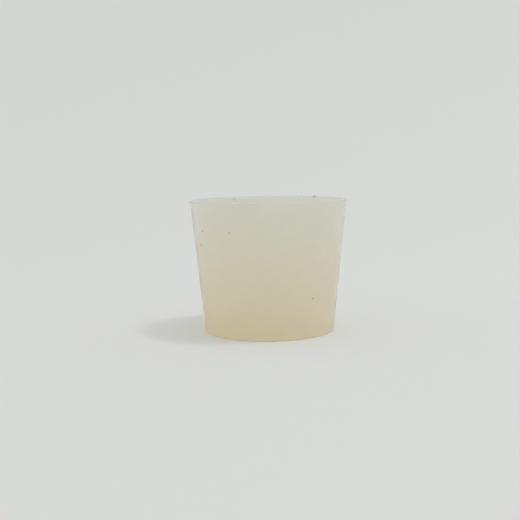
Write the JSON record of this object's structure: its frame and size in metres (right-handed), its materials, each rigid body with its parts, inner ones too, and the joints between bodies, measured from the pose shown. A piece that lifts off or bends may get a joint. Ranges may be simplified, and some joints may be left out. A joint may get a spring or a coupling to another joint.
{
  "type": "rubber stopper",
  "caption": "Solid tapered stopper in translucent silicone rubber, standing on its narrow end, which is pushed into the neck of a flask or tube to close it.",
  "frame": {"origin": "centre of the narrow end's flat face, which the stopper stands on", "axes": "+Z along the stopper's axis, from the narrow end to the wide end; X and Y are alike, because it is a solid of revolution"},
  "size_m": [0.035, 0.035, 0.0294],
  "materials": {
    "silicone": "satin, translucent, whitish at the wide end and warm cream at the narrow end"
  },
  "bodies": {
    "root": {"stopper": "silicone"}
  },
  "joints": []
}
